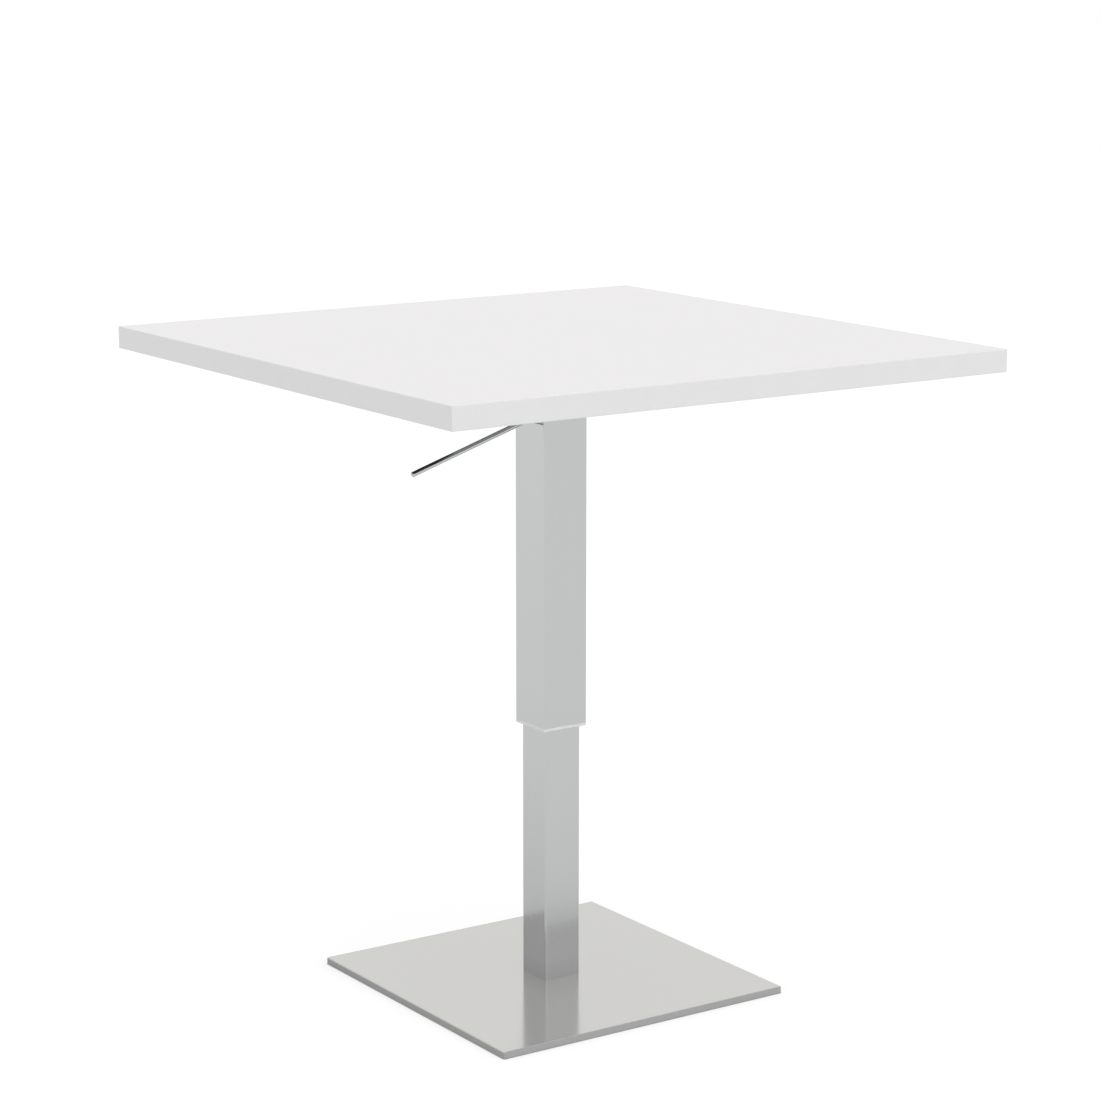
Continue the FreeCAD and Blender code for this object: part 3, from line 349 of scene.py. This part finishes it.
def black_lacquer(name):
    """Baked black lacquer on the gas cylinder: deep, glossy, with a slight orange peel."""
    material, tree, surface = new_material(name)
    place = add(tree, "ShaderNodeTexCoord", {})
    peel = add(tree, "ShaderNodeTexNoise", {"Vector": place.outputs["Object"],
                                            "Scale": 1 / (1.5 * MM)})
    tone = add(tree, "ShaderNodeMix", {0: peel.outputs["Fac"], 6: linear("0d0d0e"),
                                       7: linear("141415")}, data_type="RGBA")
    gloss = add(tree, "ShaderNodeMapRange", {
        "Value": peel.outputs["Fac"], "From Min": NOISE_LOW, "From Max": NOISE_HIGH,
        "To Min": 0.25, "To Max": 0.33})
    relief = add(tree, "ShaderNodeBump", {"Height": peel.outputs["Fac"], "Strength": 0.2,
                                          "Distance": 0.03 * MM})
    feed(surface, {"IOR": 1.5, "Coat Weight": 0.4, "Coat Roughness": 0.08,
                   "Base Color": tone.outputs[2], "Roughness": gloss.outputs["Result"],
                   "Normal": relief.outputs["Normal"]})
    return material


def blasted_aluminium(name):
    """Aluminium alloy, bead blasted: a dull even grey with a frosty grain."""
    material, tree, surface = new_material(name)
    place = add(tree, "ShaderNodeTexCoord", {})
    frost = add(tree, "ShaderNodeTexNoise", {"Vector": place.outputs["Object"],
                                             "Scale": 1 / (0.5 * MM), "Detail": 3.0})
    tone = add(tree, "ShaderNodeMix", {0: frost.outputs["Fac"], 6: linear("b9bbbd"),
                                       7: linear("cbcccd")}, data_type="RGBA")
    gloss = add(tree, "ShaderNodeMapRange", {
        "Value": frost.outputs["Fac"], "From Min": NOISE_LOW, "From Max": NOISE_HIGH,
        "To Min": 0.42, "To Max": 0.55})
    relief = add(tree, "ShaderNodeBump", {"Height": frost.outputs["Fac"], "Strength": 0.4,
                                          "Distance": 0.02 * MM})
    feed(surface, {"Metallic": 1.0, "Base Color": tone.outputs[2],
                   "Roughness": gloss.outputs["Result"], "Normal": relief.outputs["Normal"]})
    return material


def turned_brass(name):
    """Free-cutting brass, turned: warm yellow with tool rings round the insert's mouth."""
    material, tree, surface = new_material(name)
    place = add(tree, "ShaderNodeTexCoord", {})
    turned = add(tree, "ShaderNodeMapping", {
        "Vector": place.outputs["Object"],
        "Scale": (1 / (1.5 * MM), 1 / (1.5 * MM), 1 / (0.3 * MM))})
    rings = add(tree, "ShaderNodeTexNoise", {"Vector": turned.outputs["Vector"], "Scale": 1.0})
    tone = add(tree, "ShaderNodeMix", {0: rings.outputs["Fac"], 6: linear("c9a24f"),
                                       7: linear("dcb869")}, data_type="RGBA")
    gloss = add(tree, "ShaderNodeMapRange", {
        "Value": rings.outputs["Fac"], "From Min": NOISE_LOW, "From Max": NOISE_HIGH,
        "To Min": 0.22, "To Max": 0.34})
    feed(surface, {"Metallic": 1.0, "Base Color": tone.outputs[2],
                   "Roughness": gloss.outputs["Result"]})
    return material


def pressed_chipboard(name):
    """Three-layer chipboard: pressed flakes in honey and brown with resin between them."""
    material, tree, surface = new_material(name)
    place = add(tree, "ShaderNodeTexCoord", {})
    pressed = add(tree, "ShaderNodeMapping", {
        "Vector": place.outputs["Object"], "Scale": (1 / (4 * MM), 1 / (4 * MM), 1 / (1.1 * MM))})
    chips = add(tree, "ShaderNodeTexVoronoi", {"Vector": pressed.outputs["Vector"], "Scale": 1.0})
    flake = add(tree, "ShaderNodeSeparateColor", {"Color": chips.outputs["Color"]})
    tone = add(tree, "ShaderNodeMix", {0: flake.outputs["Red"], 6: linear("9a774c"),
                                       7: linear("c9aa78")}, data_type="RGBA")
    gloss = add(tree, "ShaderNodeMapRange", {"Value": chips.outputs["Distance"], "To Min": 0.75,
                                             "To Max": 0.9})
    relief = add(tree, "ShaderNodeBump", {"Height": chips.outputs["Distance"], "Strength": 0.5,
                                          "Distance": 0.2 * MM})
    feed(surface, {"IOR": 1.45, "Base Color": tone.outputs[2],
                   "Roughness": gloss.outputs["Result"], "Normal": relief.outputs["Normal"]})
    return material


PLATE_ROUGHNESS = 0.13
PLATE_METALLIC = 0.8  # the rest is the dull film that handling leaves on a plate underfoot
COLUMN_ROUGHNESS = 0.14

zinc = zinc_plate("bright_zinc_plate")
edging = plastic_edging("scraped_abs_edging")
nylon = moulded_nylon("moulded_natural_nylon")
chrome = polished_chrome("polished_chrome_plate")
blasted = blasted_aluminium("bead_blasted_aluminium")
rubber = moulded_rubber("moulded_black_rubber")
flange_finish = brushed_stainless("ground_stainless_flange", "b2b3b3", "bdbebe", 0.28, "X")

FINISHES = {
    # the second edge colour is a painted shade on the cut edges that face left and right
    "base_plate": brushed_stainless("ground_stainless_plate", "cccbc8", "cfcecb",
                                    PLATE_ROUGHNESS, "X", metallic=PLATE_METALLIC,
                                    edge=("b0b1b0", "a9aaa9")),
    "inner_tube": brushed_stainless("ground_stainless_tube", "c8c9cb", "cbccce",
                                    COLUMN_ROUGHNESS, "Z", foot=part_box("inner_tube")[0].z),
    "outer_sleeve": brushed_stainless("ground_stainless_sleeve", "c8c9cb", "cbccce",
                                      COLUMN_ROUGHNESS, "Z"),
    "top_flange": flange_finish,
    "base_pads": rubber,
    "rod_seal": rubber,
    "foot_block": zinc,
    "foot_screws": zinc,
    "cylinder_nut": zinc,
    "guide_screws": zinc,
    "flange_screws": zinc,
    "flange_washers": zinc,
    "spring_plate": zinc,
    "lock_nut": zinc,
    "lever_pivot": zinc,
    "pivot_clips": zinc,
    "lever_hub": zinc,
    "gas_cylinder": black_lacquer("baked_black_lacquer"),
    "cylinder_head": blasted,
    "piston": blasted,
    "release_head": blasted,
    "upper_guide": nylon,
    "lower_guide_bush": nylon,
    "piston_rod": chrome,
    "release_pin": chrome,
    "lever_rod": chrome,
    "threaded_inserts": turned_brass("turned_brass"),
    "tabletop_core": pressed_chipboard("pressed_chipboard"),
    "top_laminate": white_laminate("pearl_white_laminate"),
    "backing_laminate": balancing_sheet("phenolic_balancing_sheet"),
    "edge_band_front": edging,
    "edge_band_back": edging,
    "edge_band_left": edging,
    "edge_band_right": edging,
}


def finish_nodes():
    """Give every CAD node the finish of its real piece."""
    for name, material in FINISHES.items():
        slots = nodes[name].data.materials
        slots.clear()
        slots.append(material)


# ---------------------------------------------------------------- new pieces


def finished_piece(name, shape, material, body):
    """Turn a shape into a piece that rides on a body and has its finish."""
    bmesh.ops.recalc_face_normals(shape, faces=shape.faces)
    mesh = bpy.data.meshes.new(name)
    shape.to_mesh(mesh)
    shape.free()
    mesh.materials.append(material)
    piece = bpy.data.objects.new(name, mesh)
    bpy.context.scene.collection.objects.link(piece)
    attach(piece, body)
    return piece


WELD_LEG = 4 * MM
WELD_ROOT = 0.3 * MM  # how far the bead reaches into both sides of its corner
WELD_FACE = 0.85 * WELD_LEG  # radius of its rounded face
WELD_FACE_TURNS = (18, 36, 54, 72)  # degrees round that face
WELD_TOE = 0.3  # share of the ripple that is left at its toes
WELD_RIPPLE = 2.6 * MM  # from one ripple to the next
WELD_RIPPLE_HEIGHT = 0.3 * MM
WELD_RIPPLE_SAG = 0.5  # how much of its height a ripple also hangs down
WELD_STEPS = 5  # points along one ripple
WELD_CORNER_STEPS = 4
SIDES = 4  # of the square sleeve
SLEEVE_CORNER = 1.4 * MM
SLEEVE_WALL = 1.5 * MM


def weld_profile():
    """Distance from the sleeve, drop below the flange and share of the ripple, round the bead."""
    face = [(WELD_FACE * math.cos(turn), WELD_FACE * math.sin(turn), 1.0)
            for turn in map(math.radians, WELD_FACE_TURNS)]
    return [(-WELD_ROOT, -WELD_ROOT, 0.0), (WELD_LEG, -WELD_ROOT, WELD_TOE), *face,
            (-WELD_ROOT, WELD_LEG, WELD_TOE)]


def build_weld():
    """A rippled fillet weld all round the sleeve, under the flange that it carries."""
    sleeve_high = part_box("outer_sleeve")[1]
    half = sleeve_high.x
    core = half - SLEEVE_CORNER
    shape = bmesh.new()
    along = shape.verts.layers.float.new("along")
    bmesh.ops.create_grid(shape, x_segments=1, y_segments=1, size=half)
    bmesh.ops.bevel(shape, geom=shape.verts[:], affect="VERTICES", offset=SLEEVE_CORNER,
                    segments=WELD_CORNER_STEPS, profile=0.5, material=-1)
    bmesh.ops.delete(shape, geom=shape.faces[:], context="FACES_ONLY")
    ripples = round(SIDES * 2 * half / WELD_RIPPLE)
    sides = [edge for edge in shape.edges if edge.calc_length() > core]
    bmesh.ops.subdivide_edges(shape, edges=sides, cuts=ripples * WELD_STEPS // SIDES)
    ring = sorted(shape.verts, key=lambda vert: math.atan2(vert.co.y, vert.co.x))
    walked = 0.0
    for before, vert in zip([ring[0], *ring], ring):
        walked += (vert.co - before.co).length
        vert[along] = walked
    round_all = walked + (ring[0].co - ring[-1].co).length
    edges = shape.edges[:]
    first = edges
    for number, (out, down, share) in enumerate(weld_profile()):
        if number:
            made = bmesh.ops.extrude_edge_only(shape, edges=edges)["geom"]
            edges = [item for item in made if isinstance(item, bmesh.types.BMEdge)]
        verts = {vert for edge in edges for vert in edge.verts}
        for vert in verts:
            inner = Vector((max(-core, min(core, vert.co.x)), max(-core, min(core, vert.co.y))))
            away = (vert.co.xy - inner).normalized()
            phase = 2 * math.pi * ripples * vert[along] / round_all
            swell = share * WELD_RIPPLE_HEIGHT * math.cos(phase)
            vert.co.xy = inner + away * (SLEEVE_CORNER + out + swell)
            vert.co.z = sleeve_high.z - down - WELD_RIPPLE_SAG * swell
    bmesh.ops.bridge_loops(shape, edges=first + edges)
    for face in shape.faces:
        face.smooth = True
    return finished_piece("sleeve_weld", shape, weld_metal("pickled_stainless_weld"), "top")


SHIELD_THICKNESS = 0.8 * MM
SHIELD_WALL_GAP = 0.1 * MM
SHIELD_HALF_WIDTH = 28.5 * MM
SHIELD_TOP_DROP = 41 * MM  # its top below the sleeve's end
SHIELD_SLOT = 5 * MM  # half the way that it leaves for the bar
SHIELD_SLOT_FLOOR = 5 * MM  # above the cross plate
SHIELD_EDGE = 0.15 * MM
SHARP = 1  # radians; edges that turn more than this get a bevel


def build_shield():
    """A thin slotted nylon plate that stands on the cross plate, close behind the window that
    the bar comes out of."""
    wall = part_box("outer_sleeve")[0].x + SLEEVE_WALL + SHIELD_WALL_GAP
    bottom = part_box("spring_plate")[1].z
    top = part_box("outer_sleeve")[1].z - SHIELD_TOP_DROP
    shape = bmesh.new()
    bmesh.ops.create_grid(shape, x_segments=1, y_segments=1, size=1.0)
    bmesh.ops.scale(shape, vec=((top - bottom) / 2, SHIELD_HALF_WIDTH, 1), verts=shape.verts)
    bmesh.ops.rotate(shape, cent=(0, 0, 0), matrix=Matrix.Rotation(math.radians(-90), 3, "Y"),
                     verts=shape.verts)
    bmesh.ops.translate(shape, vec=(wall, 0, (top + bottom) / 2), verts=shape.verts)
    slot = bottom + SHIELD_SLOT_FLOOR
    for point, across in (((0, -SHIELD_SLOT, 0), (0, 1, 0)), ((0, SHIELD_SLOT, 0), (0, 1, 0)),
                          ((0, 0, slot), (0, 0, 1))):
        bmesh.ops.bisect_plane(shape, geom=shape.verts[:] + shape.edges[:] + shape.faces[:],
                               plane_co=point, plane_no=across)
    way = [face for face in shape.faces
           if abs(face.calc_center_median().y) < SHIELD_SLOT and face.calc_center_median().z > slot]
    bmesh.ops.delete(shape, geom=way, context="FACES")
    front = shape.faces[:]
    made = bmesh.ops.extrude_face_region(shape, geom=front)["geom"]
    bmesh.ops.translate(shape, vec=(SHIELD_THICKNESS, 0, 0),
                        verts=[item for item in made if isinstance(item, bmesh.types.BMVert)])
    rim = [edge for edge in shape.edges if edge.calc_face_angle(0) > SHARP]
    bmesh.ops.bevel(shape, geom=rim, affect="EDGES", offset=SHIELD_EDGE, segments=1,
                    profile=0.5, material=-1)
    return finished_piece("window_shield", shape, nylon, "top")


PAD_PLACE = 170 * MM  # pad's centre from the table's middle planes
PAD_GROOVES = (4 * MM, 7.5 * MM, 11 * MM)  # radius of each ring groove
PAD_GROOVE = 0.6 * MM  # half a groove's width
PAD_GROOVE_DEPTH = 0.35 * MM
PAD_RIM = 0.4 * MM  # rounding of the pad's lower rim
PAD_RIM_BULGE = 0.3 * PAD_RIM  # how near the rounding's middle is to the sharp corner
PAD_STEPS = 48
MERGE = 0.01 * MM


def build_pads():
    """Four round rubber pads with ring grooves in their soles."""
    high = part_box("base_pads")[1]
    radius = high.x - PAD_PLACE
    sole = [(0.0, 0.0)]
    for groove in PAD_GROOVES:
        sole += [(groove - PAD_GROOVE, 0.0), (groove, PAD_GROOVE_DEPTH), (groove + PAD_GROOVE, 0.0)]
    sole += [(radius - PAD_RIM, 0.0), (radius - PAD_RIM_BULGE, PAD_RIM_BULGE),
             (radius, PAD_RIM), (radius, high.z), (0.0, high.z)]
    shape = bmesh.new()
    for across in (-PAD_PLACE, PAD_PLACE):
        for along in (-PAD_PLACE, PAD_PLACE):
            centre = Vector((across, along, 0))
            verts = [shape.verts.new(centre + Vector((out, 0, up))) for out, up in sole]
            line = [shape.edges.new(pair) for pair in zip(verts, verts[1:])]
            bmesh.ops.spin(shape, geom=verts + line, cent=centre, axis=(0, 0, 1),
                           angle=2 * math.pi, steps=PAD_STEPS, use_merge=True)
    bmesh.ops.remove_doubles(shape, verts=shape.verts, dist=MERGE)
    for face in shape.faces:
        face.smooth = True
    piece = finished_piece("grooved_floor_pads", shape, rubber, "base")
    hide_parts("base_pads")
    return piece


# ---------------------------------------------------------------- studio

FLOOR_REACH = 12  # metres from side to side
FLOOR_COLOUR = "f2f2f2"
FLOOR_GLOW = 1.09  # level of its plain white
FLOOR_WHITE_SEEN = 0.8  # share of the floor in view that is plain white; the rest keeps the shadow
FLOOR_WHITE_MIRRORED = 0.35  # the same share for what metal and glass show of the floor
FLOOR_MIRRORED_COLOUR = "fcfff7"  # the colour of that share there
FLOOR_CONTACT = 2 * MM  # how far from the plate's edges the white floor is dark
FLOOR_VEIL = 25 * MM  # and how far it is still a little darker
FLOOR_VEIL_SHARE = 0.25
FLOOR_SHADE = (0.2, 0.3)  # from here to there the table's soft shade fades outwards
FLOOR_SHADE_SHIFT = (0, 0.03, 0)  # its middle lies this far in front of the table's
FLOOR_SHADE_LEVEL = 0.74  # in the middle of the shade
FLOOR_SIDE = (-2.6, -0.7)  # a window far on the left brightens the floor from right to left
FLOOR_SIDE_LEVELS = (1.08, 0.96)
SKY_LEVEL = 0.69  # the even light from all round
ROOM_LEVEL = 0.924  # what metal and glass show of the room
ROOM_BRIGHTER = (0, 0.097, 0)  # how much it brightens towards the back
ROOM_DIMMER = (-0.54, 0.31, 0)  # and dims towards the left, before it is squared
KEY_LEVEL = 0.33
KEY_TOWARDS = (0.03, -0.5, 0.86)
KEY_SPREAD = 80  # degrees across


def painted_floor():
    """Matt white studio paint that keeps the table's soft shadow. In view most of it is plain
    white; what metal shows of it has the table's shade and the brighter side of the studio."""
    material, tree, surface = new_material("painted_studio_floor")
    tree.nodes.remove(surface)
    path = add(tree, "ShaderNodeLightPath", {})
    through = add(tree, "ShaderNodeMath", {0: path.outputs["Is Glossy Ray"],
                                           1: path.outputs["Is Transmission Ray"]},
                  operation="MAXIMUM")
    mirrored = add(tree, "ShaderNodeMath", {0: through.outputs["Value"], 1: FLOOR_WHITE_MIRRORED},
                   operation="MULTIPLY")
    share = add(tree, "ShaderNodeMath", {0: path.outputs["Is Camera Ray"], 1: FLOOR_WHITE_SEEN,
                                         2: mirrored.outputs["Value"]}, operation="MULTIPLY_ADD")
    place = add(tree, "ShaderNodeTexCoord", {})
    moved = add(tree, "ShaderNodeVectorMath", {0: place.outputs["Object"],
                                               1: FLOOR_SHADE_SHIFT}, operation="ADD")
    point = add(tree, "ShaderNodeSeparateXYZ", {"Vector": moved.outputs["Vector"]})
    across = add(tree, "ShaderNodeMath", {0: point.outputs["X"]}, operation="ABSOLUTE")
    along = add(tree, "ShaderNodeMath", {0: point.outputs["Y"]}, operation="ABSOLUTE")
    out = add(tree, "ShaderNodeMath", {0: across.outputs["Value"], 1: along.outputs["Value"]},
              operation="MAXIMUM")
    shaded = add(tree, "ShaderNodeMapRange", {
        "Value": out.outputs["Value"], "From Min": FLOOR_SHADE[0], "From Max": FLOOR_SHADE[1],
        "To Min": FLOOR_SHADE_LEVEL * FLOOR_GLOW, "To Max": FLOOR_GLOW})
    sided = add(tree, "ShaderNodeMapRange", {
        "Value": point.outputs["X"], "From Min": FLOOR_SIDE[0], "From Max": FLOOR_SIDE[1],
        "To Min": FLOOR_SIDE_LEVELS[0], "To Max": FLOOR_SIDE_LEVELS[1]})
    studio = add(tree, "ShaderNodeMath", {0: shaded.outputs["Result"],
                                          1: sided.outputs["Result"]}, operation="MULTIPLY")
    level = add(tree, "ShaderNodeMix", {0: path.outputs["Is Camera Ray"],
                                        2: studio.outputs["Value"], 3: FLOOR_GLOW})
    white = add(tree, "ShaderNodeMix", {0: path.outputs["Is Camera Ray"],
                                        6: linear(FLOOR_MIRRORED_COLOUR),
                                        7: linear("ffffff")}, data_type="RGBA")
    near = add(tree, "ShaderNodeAmbientOcclusion", {"Color": white.outputs[2],
                                                    "Distance": FLOOR_VEIL})
    veil = add(tree, "ShaderNodeMix", {0: FLOOR_VEIL_SHARE, 6: white.outputs[2],
                                       7: near.outputs["Color"]}, data_type="RGBA")
    contact = add(tree, "ShaderNodeAmbientOcclusion", {"Color": veil.outputs[2],
                                                       "Distance": FLOOR_CONTACT})
    glow = add(tree, "ShaderNodeEmission", {"Color": contact.outputs["Color"],
                                            "Strength": level.outputs[0]})
    paint = add(tree, "ShaderNodeBsdfDiffuse", {"Color": linear(FLOOR_COLOUR)})
    mixed = add(tree, "ShaderNodeMixShader", {0: share.outputs["Value"], 1: paint.outputs["BSDF"],
                                              2: glow.outputs["Emission"]})
    feed(tree.nodes["Material Output"], {"Surface": mixed.outputs["Shader"]})
    return material


def build_floor():
    """A wide floor of that paint."""
    shape = bmesh.new()
    bmesh.ops.create_grid(shape, x_segments=1, y_segments=1, size=FLOOR_REACH / 2)
    mesh = bpy.data.meshes.new("floor")
    shape.to_mesh(mesh)
    shape.free()
    mesh.materials.append(painted_floor())
    floor = bpy.data.objects.new("floor", mesh)
    bpy.context.scene.collection.objects.link(floor)


def build_world():
    """An even white studio that lights softly from all round."""
    world = bpy.data.worlds.new("studio")
    world.use_nodes = True
    bpy.context.scene.world = world
    tree = world.node_tree
    path = add(tree, "ShaderNodeLightPath", {})
    place = add(tree, "ShaderNodeTexCoord", {})
    bright = add(tree, "ShaderNodeVectorMath", {0: place.outputs["Generated"],
                                                1: ROOM_BRIGHTER}, operation="DOT_PRODUCT")
    dim = add(tree, "ShaderNodeVectorMath", {0: place.outputs["Generated"], 1: ROOM_DIMMER},
              operation="DOT_PRODUCT")
    sunk = add(tree, "ShaderNodeMath", {0: dim.outputs["Value"], 1: 0.0}, operation="MAXIMUM")
    lost = add(tree, "ShaderNodeMath", {0: sunk.outputs["Value"], 1: 2.0}, operation="POWER")
    lit = add(tree, "ShaderNodeMath", {0: bright.outputs["Value"], 1: ROOM_LEVEL},
              operation="ADD")
    room = add(tree, "ShaderNodeMath", {0: lit.outputs["Value"], 1: lost.outputs["Value"]},
               operation="SUBTRACT")
    through = add(tree, "ShaderNodeMath", {0: path.outputs["Is Glossy Ray"],
                                           1: path.outputs["Is Transmission Ray"]},
                  operation="MAXIMUM")
    level = add(tree, "ShaderNodeMix", {0: through.outputs["Value"], 2: SKY_LEVEL,
                                        3: room.outputs["Value"]})
    seen = add(tree, "ShaderNodeMix", {0: path.outputs["Is Camera Ray"], 2: level.outputs[0],
                                       3: 1.0})
    feed(tree.nodes["Background"], {"Color": (1, 1, 1, 1), "Strength": seen.outputs[0]})


def build_key():
    """One broad lamp, high on the front, that sets the faces apart."""
    lamp = bpy.data.lights.new("key", "SUN")
    lamp.energy = KEY_LEVEL * math.pi
    lamp.angle = math.radians(KEY_SPREAD)
    key = bpy.data.objects.new("key", lamp)
    key.rotation_euler = Vector(KEY_TOWARDS).to_track_quat("Z", "Y").to_euler()
    bpy.context.scene.collection.objects.link(key)


def build_studio():
    """The floor, the white all round it and the lamp, shown without a film curve."""
    build_floor()
    build_world()
    build_key()
    bpy.context.scene.view_settings.view_transform = "Standard"


# ---------------------------------------------------------------- all of it

set_camera()
finish_nodes()
build_weld()
build_shield()
build_pads()
build_studio()
